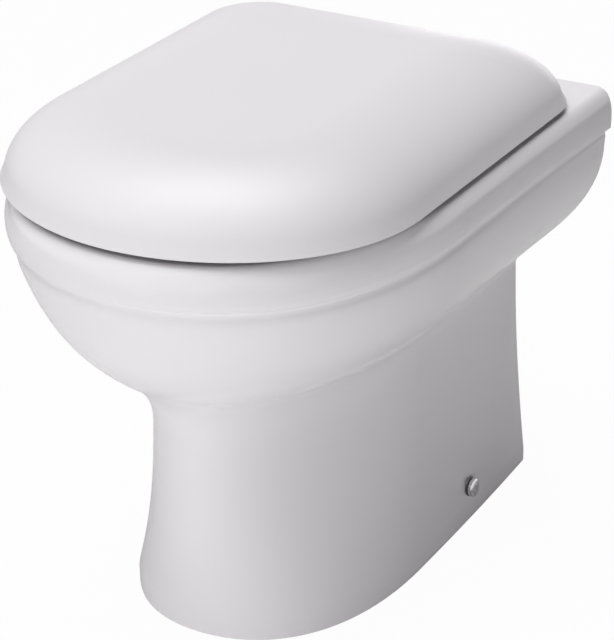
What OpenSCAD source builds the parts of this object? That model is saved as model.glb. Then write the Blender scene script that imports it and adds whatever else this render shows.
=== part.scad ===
// Back to wall toilet: a floor-standing vitreous china pan with a
// moulded seat ring and a wrap-over lid on two hinge posts.
// The pan stands on z = 0, its flat back lies in the plane of the wall
// at +Y, its front faces -Y, and it is symmetric about x = 0.

/* [Pan] */
// Depth of the pan from the wall to the front of the rim
pan_d = 506; // [470:1:540]
// Height of the rim and of the deck above the floor
rim_h = 393; // [375:1:410]
// Width across the rim at the bowl
rim_w = 380; // [360:1:396]
// Width of the deck at the wall
deck_w = 388; // [366:1:404]
// How far the rounded top edge of the rim draws in
rim_r = 12; // [7:0.5:15]
// Height of the rounded top edge of the rim
rim_edge_h = 22.5; // [14:0.5:26]
// Height of the upright band below the rim
band_h = 36; // [28:1:44]
// How far the band curves in to its lower edge
band_lean = 2.4; // [1:0.2:5]
// How far the strip under the band slants in
groove_d = 4.5; // [2:0.5:6]
// Height of the slanted strip under the band
ledge_h = 17; // [12:1:22]
// Distance from the front of the rim to where its sides turn in
rim_turn = 230; // [210:1:250]
// Thickness of the china walls
china_t = 12; // [9:0.5:14]
// Thickness of the deck over the back recess
deck_t = 14; // [11:0.5:18]
// Depth of the back recess in the middle
recess_d = 200; // [190:1:206]
// Distance from the wall to where the sides of the back recess turn in
recess_turn = 120; // [100:1:130]
// Size of the fillet under the deck
recess_r = 8; // [4:0.5:10]

/* [Pedestal] */
// Width of the foot at the wall
foot_w = 231; // [210:1:250]
// Extra half width of the foot ahead of the wall
foot_swell = 5.5; // [2:0.5:9]
// Distance from the wall to the front of the foot
foot_d = 401; // [380:1:420]
// Distance from the wall to where the sides of the foot turn in
foot_turn = 225; // [210:1:250]
// Height of the upright edge of the foot
plinth_h = 14; // [8:1:24]
// Width of the waist under the bowl
waist_w = 207; // [195:1:225]
// Distance from the wall to the front of the waist
waist_d = 409; // [390:1:420]
// Distance from the wall to where the sides of the waist turn in
waist_turn = 191; // [170:1:215]
// How far the waist draws in on each side ahead of the wall
waist_nip = 1.9; // [0:0.1:4]
// Depth of the crease under the bowl below the top of the deck at the wall
crease_drop = 183; // [168:1:198]
// Rise of the crease from the wall to the front
crease_rise = 9.5; // [0:0.5:20]

/* [Bowl] */
// Half width of the opening inside the rim
mouth_w = 120; // [108:1:128]
// Distance from the front of the rim to the opening
mouth_front = 49; // [44:1:60]
// Length of the opening inside the rim
mouth_l = 298; // [270:1:310]
// Depth of the overhanging rim above the bowl
rim_skirt = 41; // [32:1:46]
// Height of the bottom of the sump above the floor
sump_h = 22; // [20:1:36]

/* [Waste and flush] */
// Height of the middle of the outlet above the floor
outlet_h = 180; // [170:1:190]
// Outer radius of the outlet spigot
outlet_r = 51; // [48:0.5:54]
// Wall of the outlet spigot
outlet_wall = 8; // [6:0.5:10]
// Length of the straight outlet spigot
outlet_l = 44; // [36:1:52]
// How far the spigots stop short of the wall
spigot_back = 9; // [5:1:15]
// Depth of the middle of the flush inlet below the top of the deck
inlet_drop = 65; // [61:1:75]
// Outer radius of the flush inlet horn
inlet_r = 29.5; // [28:0.5:31]
// Wall of the flush inlet horn
inlet_wall = 8.5; // [7:0.5:10]
// Inner radius of the trap
trap_r = 38; // [35:0.5:40]
// Wall of the trap
trap_wall = 9; // [7:0.5:11]

/* [Floor fixings] */
// Distance from the wall to the side fixing
fix_back = 122; // [110:1:150]
// Height of the side fixing above the floor
fix_h = 33; // [28:1:42]
// Radius of the hole for the side fixing
fix_hole_r = 6; // [5.5:0.25:7]
// Radius of the side screw's shank
fix_screw_r = 3; // [2.5:0.25:3.5]
// Radius of the side screw's head
fix_head_r = 5.5; // [5:0.25:6]
// Radius of the cap over the side screw
fix_cap_r = 7.5; // [7:0.25:9]
// How far the cap stands out from the side
fix_cap_l = 7; // [6:0.5:9]
// Depth of the hollow in the cap
fix_cap_deep = 4; // [3.6:0.1:4.4]
// Thickness of the angle bracket
bracket_t = 3; // [2.5:0.25:4]
// Width of the angle bracket
bracket_w = 36; // [30:1:44]
// Height of the angle bracket
bracket_h = 48; // [44:1:56]
// Length of the bracket's foot on the floor
bracket_foot = 40; // [32:1:44]
// Radius of the hole for the floor screw
floor_hole_r = 4; // [3:0.25:4.5]

/* [Seat hinge] */
// Distance between the two hinge bolts
hinge_pitch = 155; // [145:1:165]
// Distance from the wall to the hinge bolts
hinge_back = 57; // [55:1:60]
// Height of the hinge pins above the deck
hinge_h = 33.5; // [33:0.25:34.5]
// Radius of the hinge barrels
barrel_r = 8.5; // [7.5:0.25:9]
// Width of the barrel on top of each hinge post
barrel_l = 22; // [18:1:24]
// Radius of the upright part of the hinge post
post_r = 6; // [5.75:0.25:6.5]
// Radius of the hinge pins
pin_r = 4; // [3.5:0.25:4.5]
// Width of each knuckle of the ring and of the lid
knuckle_l = 20; // [16:1:24]
// Radius of the round base plate under each post
base_r = 21; // [18:0.5:23]
// Thickness of the base plate
base_t = 3; // [2:0.25:3.5]
// Thickness of the gasket under the base plate
gasket_t = 1.5; // [1:0.25:2]
// Radius of the holes for the hinge bolts in the deck
bolt_hole_r = 7; // [6:0.25:8]
// Radius of the hinge bolt
bolt_r = 4; // [3.5:0.25:4.5]
// Length of the wing nut's body
nut_l = 14; // [12:1:18]

/* [Seat ring] */
// Gap between the rim and the underside of the ring
ring_lift = 6; // [5:0.25:7]
// Height of the ring
ring_t = 32; // [28:0.5:33]
// Wall of the ring, which is open below
ring_wall = 5; // [4:0.25:6]
// Gap at the side between the ring and the lid
ring_gap = 2.5; // [2:0.25:4]
// Half width of the opening in the ring
seat_w = 108; // [96:1:114]
// Distance from the front of the ring to its opening
seat_front = 64; // [58:1:76]
// Length of the opening in the ring
seat_l = 268; // [250:1:285]
// Radius of the buffers under the ring
buffer_r = 9; // [7:0.5:11]
// Distance from the front of the rim to the front buffers
buffer_front = 190; // [170:1:210]
// Distance from the hinge pins to the rear buffers
buffer_rear = 90; // [80:1:100]

/* [Lid] */
// Gap between the rim and the edge of the lid
lid_lift = 5; // [4:0.25:5.5]
// Overall height of the lid
lid_t = 59.5; // [57:0.5:60]
// Width of the lid
lid_w = 365; // [348:1:370]
// How far the front of the rim shows past the lid
lid_front = 5.5; // [4:0.5:9]
// How far the lid reaches behind the hinge pins
lid_tail = 26; // [24:0.5:27]
// Distance from the front of the rim to where the lid's sides turn in
lid_turn = 169; // [155:1:185]
// Radius of the rear corners of the lid in plan
lid_corner = 54; // [44:1:60]
// Width of the rounding over the edge of the lid
lid_round = 94; // [80:1:98]
// Wall of the lid
lid_wall = 4.5; // [3.5:0.25:5.5]
// Radius of the buffers inside the lid
lid_buffer_r = 6; // [5:0.5:8]
// Height of the buffers inside the lid
lid_buffer_t = 3; // [2.5:0.25:4]
// Radius of the stems of the buffers
stem_r = 2.5; // [2:0.25:3]
// Length of the stems of the buffers
stem_l = 3; // [2:0.25:4]

/* [Fits] */
// Radial clearance of the pins in the moving knuckles
run_fit = 0.06; // [0.03:0.01:0.1]
// Gap between pieces that move past each other
run_gap = 0.8; // [0.6:0.1:1.2]
// Gap between pieces that lie on each other
rest_gap = 0.3; // [0.2:0.05:0.5]

/* [Hidden] */
$fn = 48;

wall_y = pan_d / 2;
front_y = -pan_d / 2;
e = 0.01;

// ---- outlines -------------------------------------------------------
function mix(a, b, k) = a + (b - a) * k;
function bez(a, b, c, d, t) = a * pow(1 - t, 3) + b * (3 * t * pow(1 - t, 2))
  + c * (3 * t * t * (1 - t)) + d * pow(t, 3);

// A section is [half width at the back, half width at the side, y where
// the side begins to turn in, y of the front, two fullnesses of the turn].
function inset(s, d) = [s[0] - d, s[1] - d, s[2], s[3] + d, s[4], s[5]];
n_side = 5;
n_turn = 18;
function half(s, yb) = concat(
  [for (i = [0:n_side - 1]) let(u = i / n_side)
    [mix(s[1], s[0], pow(1 - u, 2)), mix(yb, s[2], u)]],
  [for (i = [0:n_turn]) bez([s[1], s[2]],
    [s[1], s[2] - s[4] * (s[2] - s[3])], [s[5] * s[1], s[3]], [0, s[3]],
    i / n_turn)]);
function both(h) = concat(h, [for (i = [len(h) - 2:-1:0]) [-h[i][0], h[i][1]]]);
function at(p, z) = [for (q = p) [q[0], q[1], z]];

// A round-backed outline: half width, front, back and the widest place.
function egg(hw, yf, yb, yw, n, p) = [for (i = [0:n - 1])
  let(a = -360 * i / n, c = cos(a), s = sin(a))
  [hw * sign(c) * pow(abs(c), p), yw + (s > 0 ? yb - yw : yw - yf)
    * sign(s) * pow(abs(s), p)]];

// A closed skin over a stack of rings with the same number of points.
module skin(r) {
  n = len(r[0]);
  m = len(r);
  polyhedron(points = [for (q = r) for (p = q) p],
    faces = concat([[for (i = [n - 1:-1:0]) i]],
      [[for (i = [0:n - 1]) (m - 1) * n + i]],
      [for (j = [0:m - 2]) for (i = [0:n - 1]) let(k = (i + 1) % n)
        each [[j * n + i, j * n + k, (j + 1) * n + k],
              [j * n + i, (j + 1) * n + k, (j + 1) * n + i]]]),
    convexity = 8);
}

// ---- pan: outer sections ---------------------------------------------
rim_s = [deck_w / 2, rim_w / 2, front_y + rim_turn, front_y, 0.51, 0.705];
band_s = rim_s + [-band_lean / 10, -band_lean, 0, band_lean, 0, 0];
groove_s = inset(band_s, groove_d);
ledge_s = groove_s + [-1, 1, 0, -1, 0, 0];
foot_s = [foot_w / 2, foot_w / 2 + foot_swell, wall_y - foot_turn,
  wall_y - foot_d, 0.72, 0.54];
waist_s = [waist_w / 2, waist_w / 2 - waist_nip, wall_y - waist_turn,
  wall_y - waist_d, 0.25, 0.71];
band_z = rim_h - band_h;
ledge_z = rim_h - band_h - ledge_h;
groove_z = ledge_z + 3;
edge_z = rim_h - rim_edge_h;
inlet_h = rim_h - inlet_drop;
crease_h = rim_h - crease_drop;
function crease_z(y) = crease_h + crease_rise * (wall_y - y) / waist_d;
// The pedestal draws in from the foot to the waist.
function stem(k) = mix(foot_s, waist_s, 1 - pow(1 - k, 1.75));
function stem_ring(k, d, yb) = [for (p = both(half(inset(stem(k), d), yb)))
  [p[0], p[1], plinth_h + (crease_z(p[1]) - plinth_h) * k]];
// The underside of the bowl swings out from the crease up to the ledge.
function bowl_pt(a, b, t) = let(w = max(0, min(1, (b[1] - ledge_s[3])
    / (wall_y - ledge_s[3]))), zc = crease_z(a[1]), h = ledge_z - zc,
    o = [b[0] - a[0], b[1] - a[1]])
  bez([a[0], a[1], zc],
    [a[0] + o[0] * mix(0.5, 0.44, w), a[1] + o[1] * mix(0.5, 0.44, w),
      zc + h * 0.295],
    [b[0] - o[0] * 0.235 * (1 - w), b[1] - o[1] * 0.235 * (1 - w),
      ledge_z - h * mix(0.68, 0.44, w)],
    [b[0], b[1], ledge_z], t);
function bowl_ring(t, d, yb) = let(a = both(half(inset(waist_s, d), yb)),
    b = both(half(inset(ledge_s, d), yb)))
  [for (i = [0:len(a) - 1]) bowl_pt(a[i], b[i], t)];
// Above the band's lower edge the rim swells out and rounds over.
function band_ring(k) = at(both(half(mix(rim_s, band_s, pow(1 - k, 2)), wall_y)),
  mix(band_z, edge_z, k));
function rim_ring(a) = at(both(half(inset(rim_s, rim_r * (1 - cos(a))),
  wall_y)), edge_z + rim_edge_h * sin(a));

module pan_outer() skin(concat(
  [at(both(half(foot_s, wall_y)), 0)],
  [for (k = [0, 0.08, 0.2, 0.35, 0.52, 0.7, 0.86, 0.97]) stem_ring(k, 0, wall_y)],
  [for (t = [0.03, 0.12, 0.22, 0.33, 0.44, 0.55, 0.66, 0.77, 0.88, 1])
    bowl_ring(t, 0, wall_y)],
  [at(both(half(groove_s, wall_y)), groove_z),
   at(both(half(inset(band_s, groove_d * 0.12), wall_y)), band_z - 1),
   band_ring(0.12), band_ring(0.5)],
  [for (a = [0, 30, 55, 75, 90]) rim_ring(a)]));

// ---- pan: the bowl inside --------------------------------------------
mouth_yf = front_y + mouth_front;
mouth_yb = mouth_yf + mouth_l;
under_z = rim_h - rim_skirt;
// Height at a share of the depth of the bowl below the rim.
function deep(k) = mix(sump_h, under_z, k);
// Rows of height, half width, front, back and squareness.
bowl_rows = [
  [sump_h, 20, -12, 22, 1], [deep(0.018), 32, -24, 30, 1],
  [deep(0.067), 42, -36, 33, 0.98], [deep(0.152), 48, -45, 35, 0.96],
  [deep(0.273), 54, -58, 38, 0.94], [deep(0.406), 61, -76, 48, 0.92],
  [deep(0.512), 71, -97, 63, 0.92], [deep(0.618), 82, -118, 78, 0.92],
  [deep(0.724), 118, -165, 100, 0.9], [deep(0.815), 141, -196, 111, 0.88],
  [deep(0.897), ledge_s[1] - china_t - 12, ledge_s[3] + china_t + 14, 119, 0.86],
  [under_z - 10, ledge_s[1] - china_t - 8, ledge_s[3] + china_t + 8, 122, 0.84],
  [under_z, mouth_w + 28, mouth_yf - 18, 118, 0.84],
  [under_z + 6, mouth_w + 3, mouth_yf - 3, mouth_yb + 3, 0.84],
  [under_z + 12, mouth_w, mouth_yf, mouth_yb, 0.84],
  [rim_h - 7, mouth_w, mouth_yf, mouth_yb, 0.84],
  [rim_h - 2, mouth_w + 2, mouth_yf - 2, mouth_yb + 2, 0.84],
  [rim_h + 0.5, mouth_w + 6.5, mouth_yf - 6.5, mouth_yb + 6.5, 0.84]];
function bowl_row(r, d, n) = at(egg(r[1] + d, r[2] - d, r[3] + d,
  mix(r[2], r[3], 0.55), n, r[4]), r[0]);
module bowl_space() skin([for (r = bowl_rows) bowl_row(r, 0, 36)]);
// The body keeps one wall outside the bowl and fills the tongue of the
// trap, which hangs between the bowl and the rising leg.
module bowl_body() skin(concat([at(egg(20, -12, 22, 6, 32, 1), sump_h - china_t)],
  [for (i = [1, 2, 4, 5, 6, 7, 8, 9, 10, 11])
    bowl_row(bowl_rows[i] - [china_t * (i < 3 ? 0.5 : 0.25), 0, 0,
      i < 4 ? 0 : i < 6 ? -16 : i < 7 ? -8 : 0, 0], china_t, 32)],
  [bowl_row([rim_h - deck_t / 2, bowl_rows[11][1], bowl_rows[11][2],
    bowl_rows[11][3], bowl_rows[11][4]], china_t, 32)]));

// ---- pan: trap and spigots ---------------------------------------------
// Middle line of the trap as points [y, z, heading].
bend_a = 60;
bend_b = 58;
rise_a = 72;
fall_a = 18;
trap_low = sump_h + trap_r;
trap_top = outlet_h + 2 * bend_b * (1 - cos(fall_a));
leg_l = (trap_top - trap_low - (bend_a + bend_b) * (1 - cos(rise_a))) / sin(rise_a);
leg_y = leg_l * cos(rise_a) + (bend_a + bend_b) * sin(rise_a);
fall_y = 2 * bend_b * sin(fall_a);
trap_y = wall_y - spigot_back - outlet_l - leg_y - fall_y;
trap_line = concat([[trap_y - 30, trap_low, 0]],
  [for (a = [0:12:rise_a]) [trap_y + bend_a * sin(a),
    trap_low + bend_a * (1 - cos(a)), a]],
  [for (a = [rise_a:-12:0]) [trap_y + leg_y - bend_b * sin(a),
    trap_top - bend_b * (1 - cos(a)), a]],
  [for (a = [9:9:fall_a]) [trap_y + leg_y + bend_b * sin(a),
    trap_top - bend_b * (1 - cos(a)), -a]],
  [for (a = [fall_a - 9:-9:0]) [trap_y + leg_y + fall_y - bend_b * sin(a),
    outlet_h + bend_b * (1 - cos(a)), -a]]);
module trap(r, n, line = trap_line) skin([for (q = line) [for (i = [0:n - 1])
  let(a = 360 * i / n, u = r * sin(a))
  [r * cos(a), q[0] - u * sin(q[2]), q[1] + u * cos(q[2])]]]);

// ---- pan: recess behind and below ------------------------------------
recess_z = rim_h - deck_t;
back_s = function(s, d) [s[0] - d, s[1] - d, wall_y - recess_turn,
  wall_y - recess_d, 0.5, 0.5];
hip_z = crease_h - 50;
module recess() {
  skin(concat(
    [at(both(half(inset(foot_s, china_t), wall_y + 1)), -1)],
    [for (k = [0.1, 0.35, 0.6, 0.8]) stem_ring(k, china_t, wall_y + 1)]));
  skin(concat(
    [at(both(half(back_s(waist_s, china_t), wall_y + 1)), hip_z)],
    [for (t = [0, 0.2, 0.4, 0.6, 0.8, 1])
      [for (p = [for (i = [0:len(both(half(waist_s, 0))) - 1])
        bowl_pt(both(half(back_s(waist_s, china_t), wall_y + 1))[i],
          both(half(back_s(ledge_s, china_t), wall_y + 1))[i], t)]) p]],
    [at(both(half(back_s(ledge_s, china_t), wall_y + 1)), recess_z - recess_r),
     at(both(half(back_s(ledge_s, china_t + recess_r), wall_y + 1)), recess_z)]));
}

fix_y = wall_y - fix_back;
// Half width of the pedestal's side at a place y and a height z.
function side_x(y, z) = let(q = stem((z - plinth_h) / (crease_z(y) - plinth_h)),
  u = (wall_y - y) / (wall_y - q[2])) mix(q[1], q[0], pow(1 - u, 2));
fix_x = side_x(fix_y, fix_h);
fix_in = fix_x - china_t;
// The bracket's upright face clears the china at its top rear corner.
bracket_x = side_x(fix_y + bracket_w / 2, bracket_h) - china_t - rest_gap;
// The cap clears the side at its widest place under the cap's edge.
cap_x = side_x(fix_y - fix_cap_r, fix_h - fix_cap_r) + rest_gap;
hinge_y = wall_y - hinge_back;
hinge_z = rim_h + hinge_h;
hinge_x = hinge_pitch / 2;

// ---- pan: the sections of the casting ---------------------------------
// The pan is one casting. It is given in sections that meet face to face:
// the rim and the deck above the underside of the rim, the bowl and the
// cheeks down to the hip, and below it the pedestal, the sump and the trap.
deck_y = mouth_yb - 60;
bowl_y = (mouth_yf + mouth_yb) / 2;
cheek_y = bowl_rows[11][3] + china_t + 2;
spigot_y = wall_y - spigot_back;

// What lies between two corners of a box.
module within(lo, hi) intersection() {
  union() children();
  translate(lo) cube(hi - lo);
}
module trap_bore() trap(trap_r, 16, concat(trap_line, [[wall_y, outlet_h, 0]]));
module flush_bore(y) translate([0, y, inlet_h]) rotate([-90, 0, 0])
  cylinder(r = inlet_r - inlet_wall, h = wall_y - y + 20, $fn = 64);
// The pan without its trap: its outer wall, open to the back and below,
// with the bowl and a collar round the flush inlet standing in the recess.
module casting() difference() {
  pan_outer();
  difference() {
    recess();
    bowl_body();
    translate([0, cheek_y - 28, inlet_h]) rotate([-90, 0, 0])
      cylinder(r = inlet_r + 1, h = 28, $fn = 32);
  }
  bowl_space();
  flush_bore(mouth_yb - 24);
}

// The front part of the rim, right-hand side.
module rim() color("white") resize([0, 0, 0])
  within([0, front_y - 1, under_z], [deck_w, deck_y, rim_h + 1]) casting();
module deck() color("white") difference() {
  resize([0, 0, 0])
    within([-deck_w, deck_y, under_z], [deck_w, wall_y + 1, rim_h + 1]) casting();
  // holes for the hinge bolts
  for (s = [-1, 1]) translate([s * hinge_x, hinge_y, rim_h - deck_t - 6])
    cylinder(r = bolt_hole_r, h = deck_t + 12);
}
module bowl_front() color("white") resize([0, 0, 0])
  within([0, front_y - 1, hip_z], [deck_w, bowl_y, under_z]) casting();
module bowl_rear() color("white") resize([0, 0, 0]) difference() {
  within([0, bowl_y, hip_z], [deck_w, cheek_y, under_z]) casting();
  trap_bore();
}
module cheek() color("white") resize([0, 0, 0])
  within([inlet_r + 10, cheek_y, hip_z], [deck_w, wall_y + 1, under_z]) casting();
module pedestal() color("white") difference() {
  resize([0, 0, 0])
    within([-deck_w, front_y, -1], [deck_w, wall_y + 1, hip_z]) difference() {
      pan_outer();
      recess();
    }
  // holes for the side fixings
  for (s = [-1, 1]) translate([s * (fix_x + 8), fix_y, fix_h])
    rotate([0, -s * 90, 0]) cylinder(r = fix_hole_r, h = china_t + 16);
}
module sump() color("white") resize([0, 0, 0])
  within([0, front_y, -1], [deck_w, wall_y, hip_z]) difference() {
    bowl_body();
    bowl_space();
    trap_bore();
  }
module trap_leg() color("white") resize([0, 0, 0])
  within([0, 0, 0], [deck_w, wall_y, rim_h]) difference() {
    trap(trap_r + trap_wall, 16);
    bowl_body();
    trap_bore();
  }
module outlet_spigot() color("white") translate([0, spigot_y - outlet_l, outlet_h])
  rotate([-90, 0, 0]) difference() {
    cylinder(r = outlet_r, h = outlet_l, $fn = 64);
    translate([0, 0, -1])
      cylinder(r = outlet_r - outlet_wall, h = outlet_l + 2, $fn = 64);
  }
module flush_inlet() color("white") difference() {
  translate([0, cheek_y, inlet_h]) rotate([-90, 0, 0])
    cylinder(r = inlet_r, h = spigot_y - cheek_y, $fn = 64);
  flush_bore(cheek_y - 1);
}

// ---- floor fixings, right-hand side -----------------------------------
module floor_bracket() color("silver") difference() {
  union() {
    translate([bracket_x - bracket_t, fix_y - bracket_w / 2, 0])
      cube([bracket_t, bracket_w, bracket_h]);
    translate([bracket_x - bracket_foot, fix_y - bracket_w / 2, 0])
      cube([bracket_foot, bracket_w, bracket_t]);
  }
  translate([bracket_x - bracket_foot / 2 - bracket_t, fix_y, -1])
    cylinder(r = floor_hole_r, h = bracket_t + 2);
  translate([bracket_x - bracket_t - 1, fix_y, fix_h]) rotate([0, 90, 0])
    cylinder(r = fix_screw_r, h = bracket_t + 2);
}
module side_bush() color("gainsboro")
  translate([bracket_x, fix_y, fix_h]) rotate([0, 90, 0]) difference() {
    cylinder(r = fix_hole_r - 0.1, h = fix_x - bracket_x);
    translate([0, 0, -1]) cylinder(r = fix_screw_r + 0.2, h = fix_x - bracket_x + 2);
  }
module side_screw() color("silver") {
  translate([bracket_x - bracket_t - 6, fix_y, fix_h]) rotate([0, 90, 0])
    cylinder(r = fix_screw_r, h = fix_x + 1.5 - bracket_x + bracket_t + 6);
  translate([fix_x + 1, fix_y, fix_h]) rotate([0, 90, 0])
    cylinder(r = fix_head_r, h = 2.5);
}
module side_cap() color("silver")
  translate([cap_x, fix_y, fix_h]) rotate([0, 90, 0]) difference() {
    rotate_extrude() polygon([[0, 0], [fix_cap_r, 0], [fix_cap_r, fix_cap_l - 2.5],
      [fix_cap_r - 0.7, fix_cap_l - 1.2], [fix_cap_r - 2.2, fix_cap_l - 0.3],
      [0, fix_cap_l]]);
    translate([0, 0, -1]) cylinder(r = fix_head_r + rest_gap, h = 1 + fix_cap_deep);
  }

// ---- seat hinge, right-hand side --------------------------------------
base_z = rim_h + gasket_t;
module hinge_gasket() color("gainsboro") translate([hinge_x, hinge_y, rim_h])
  difference() {
    cylinder(r = base_r - 1, h = gasket_t);
    translate([0, 0, -1]) cylinder(r = bolt_r + 0.5, h = gasket_t + 2);
  }
module hinge_base() color("silver") translate([hinge_x, hinge_y, base_z])
  difference() {
    rotate_extrude() polygon([[0, 0], [base_r, 0], [base_r, base_t - 1],
      [base_r - 1, base_t], [0, base_t]]);
    translate([0, 0, -1]) cylinder(r = bolt_r + 0.25, h = base_t + 2);
  }
module hinge_post() color("silver") difference() {
  union() {
    translate([hinge_x, hinge_y, base_z + base_t])
      cylinder(r = post_r, h = hinge_z - base_z - base_t);
    translate([hinge_x - barrel_l / 2, hinge_y, hinge_z]) rotate([0, 90, 0])
      cylinder(r = barrel_r, h = barrel_l);
  }
  translate([hinge_x - barrel_l, hinge_y, hinge_z]) rotate([0, 90, 0])
    cylinder(r = pin_r, h = 2 * barrel_l);
  translate([hinge_x, hinge_y, base_z]) cylinder(r = bolt_r, h = base_t + 10);
}
pin_x = hinge_x - barrel_l / 2 - run_gap - knuckle_l + 2;
pin_l = barrel_l + 2 * run_gap + 2 * knuckle_l - 4;
module hinge_pin() color("silver") translate([pin_x, hinge_y, hinge_z])
  rotate([0, 90, 0]) cylinder(r = pin_r, h = pin_l);
cone_l = 10;
stud_low = recess_z - cone_l - 2 - nut_l - 6;
module hinge_stud() color("silver") translate([hinge_x, hinge_y, stud_low])
  cylinder(r = bolt_r, h = base_z + base_t + 10 - stud_low);
module hinge_cone() color("dimgray") translate([hinge_x, hinge_y, recess_z])
  difference() {
    union() {
      translate([0, 0, -4]) cylinder(r = bolt_hole_r + 5, h = 4);
      cylinder(r = bolt_hole_r - 0.3, h = cone_l - 4);
    }
    translate([0, 0, -5]) cylinder(r = bolt_r + 0.2, h = cone_l + 2);
  }
module hinge_washer() color("silver") translate([hinge_x, hinge_y, recess_z - 6])
  difference() {
    cylinder(r = bolt_hole_r + 4, h = 2);
    translate([0, 0, -1]) cylinder(r = bolt_r + 0.25, h = 4);
  }
module hinge_nut() color("gainsboro")
  translate([hinge_x, hinge_y, recess_z - 6 - nut_l]) difference() {
    union() {
      cylinder(r = bolt_r + 4.5, h = nut_l);
      translate([-bolt_r - 12, -1.75, 0]) cube([2 * bolt_r + 24, 3.5, nut_l * 0.7]);
    }
    translate([0, 0, -1]) cylinder(r = bolt_r, h = nut_l + 2);
  }

// ---- lid and ring outlines -------------------------------------------
lid_y = hinge_y + lid_tail;
lid_yf = front_y + lid_front;
lid_z = rim_h + lid_lift;
lid_top = lid_z + lid_t;
// Outline with round rear corners, drawn in by d: rear middle to front.
function lid_half(d, rc) = let(w = lid_w / 2 - d, yb = lid_y - d, yf = lid_yf + d,
    ys = front_y + lid_turn)
  concat([for (a = [90:-15:0]) [w - rc + rc * cos(a), yb - rc + rc * sin(a)]],
    [for (i = [1:3]) [w, mix(yb - rc, ys, i / 4)]],
    [for (i = [0:14]) bez([w, ys], [w, ys - 0.62 * (ys - yf)], [0.49 * w, yf],
      [0, yf], i / 14)]);
function lid_ring(d, z) = at(both(lid_half(d, max(8, lid_corner - 0.3 * d))), z);
lid_draft = 2.6;
function lid_dome(a, t) = lid_ring(t + lid_draft + lid_round * (1 - cos(a)),
  lid_z + 1 + (lid_t - 1) * sin(a) - t);
module lid_solid() skin(concat([lid_ring(0.8, lid_z), lid_ring(0, lid_z + 1.5)],
  [for (a = [8, 18, 28, 38, 48, 58, 68, 79, 90]) lid_dome(a, 0)]));
module lid_hollow() skin(concat([lid_ring(lid_wall, lid_z - 1)],
  [for (a = [12, 26, 40, 54, 70, 90]) lid_dome(a, lid_wall)]));
// Inset of the lid's inner face from the lid's outline at a height z.
function lid_in(z) = lid_wall + lid_draft + lid_round
  * (1 - cos(asin(min(1, max(0, (z - lid_z - 1 + lid_wall) / (lid_t - 1))))));
// The tail swings under the hinge when the lid stands up, so what lies
// lower and further back than a radius is cut away, over a width from xa to xb.
module tail_cut(r, xa, xb) difference() {
  translate([xa, hinge_y, hinge_z - 80]) cube([xb - xa, 60, 80]);
  translate([xa - 1, hinge_y, hinge_z]) rotate([0, 90, 0])
    cylinder(r = r, h = xb - xa + 2, $fn = 96);
}
clear_x = base_r + 1.5;

// ---- seat ring ----------------------------------------------------------
ring_z = rim_h + ring_lift;
ring_back = hinge_y - 34;
ring_in = lid_in(ring_z) + ring_gap;
// Share of the ring's width by which its side must lean in at a height h.
function ring_k(h) = (lid_in(ring_z + h) + ring_gap - ring_in)
  / (lid_w / 2 - ring_in - seat_w);
// Places of the buffers, on the middle line of the ring's sides.
buf_x = (lid_w / 2 - ring_in + seat_w) / 2;
buf_front = front_y + buffer_front;
buf_rear = hinge_y - buffer_rear;
ring_yf = lid_yf + ring_in;
seat_yf = ring_yf + seat_front;
seat_yc = seat_yf + seat_l * 0.55;
function ring_out() = both([for (p = lid_half(ring_in, lid_corner - ring_in))
  [p[0], min(p[1], mix(p[1], ring_back, p[1] > ring_back - 40
    ? (p[1] - ring_back + 40) / (lid_y - ring_in - ring_back + 40) : 0))]]);
function seat_pt(p) = let(a = atan2((p[1] - seat_yc)
    / (p[1] > seat_yc ? ring_back - seat_yc : seat_yc - ring_yf),
    p[0] / (lid_w / 2 - ring_in)), c = cos(a), s = sin(a))
  [seat_w * sign(c) * pow(abs(c), 0.94),
   seat_yc + (s > 0 ? seat_l * 0.45 : seat_l * 0.55) * sign(s) * pow(abs(s), 0.94)];
// Rows of the ring's profile: share of the way in, and height.
ring_rows = [[0.14, ring_t - ring_wall * 2.9], [0.07, 0], [0.012, 0], [0, 2],
  [ring_k(ring_t * 0.22) + 0.005, ring_t * 0.22],
  [ring_k(ring_t * 0.5) + 0.01, ring_t * 0.5],
  [ring_k(ring_t * 0.76) + 0.01, ring_t * 0.76],
  [ring_k(ring_t * 0.94) + 0.01, ring_t * 0.94],
  [0.52, ring_t], [0.74, ring_t * 0.94], [0.92, ring_t * 0.7],
  [1, ring_t * 0.36], [1, 2], [0.975, 0], [0.92, 0],
  [0.88, ring_t - ring_wall * 2.9], [0.7, ring_t - ring_wall * 1.5],
  [0.5, ring_t - ring_wall * 1.05], [0.34, ring_t - ring_wall * 1.5]];
module ring_skin() {
  o = ring_out();
  n = len(o);
  m = len(ring_rows);
  polyhedron(points = [for (q = ring_rows) for (p = o) let(s = seat_pt(p))
      [mix(p[0], s[0], q[0]), mix(p[1], s[1], q[0]), ring_z + q[1]]],
    faces = [for (j = [0:m - 1]) for (i = [0:n - 1])
      let(k = (i + 1) % n, l = (j + 1) % m)
      each [[j * n + i, j * n + k, l * n + k], [j * n + i, l * n + k, l * n + i]]],
    convexity = 8);
}
knuckle_in = hinge_x - barrel_l / 2 - run_gap - knuckle_l;
knuckle_out = hinge_x + barrel_l / 2 + run_gap;
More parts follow.
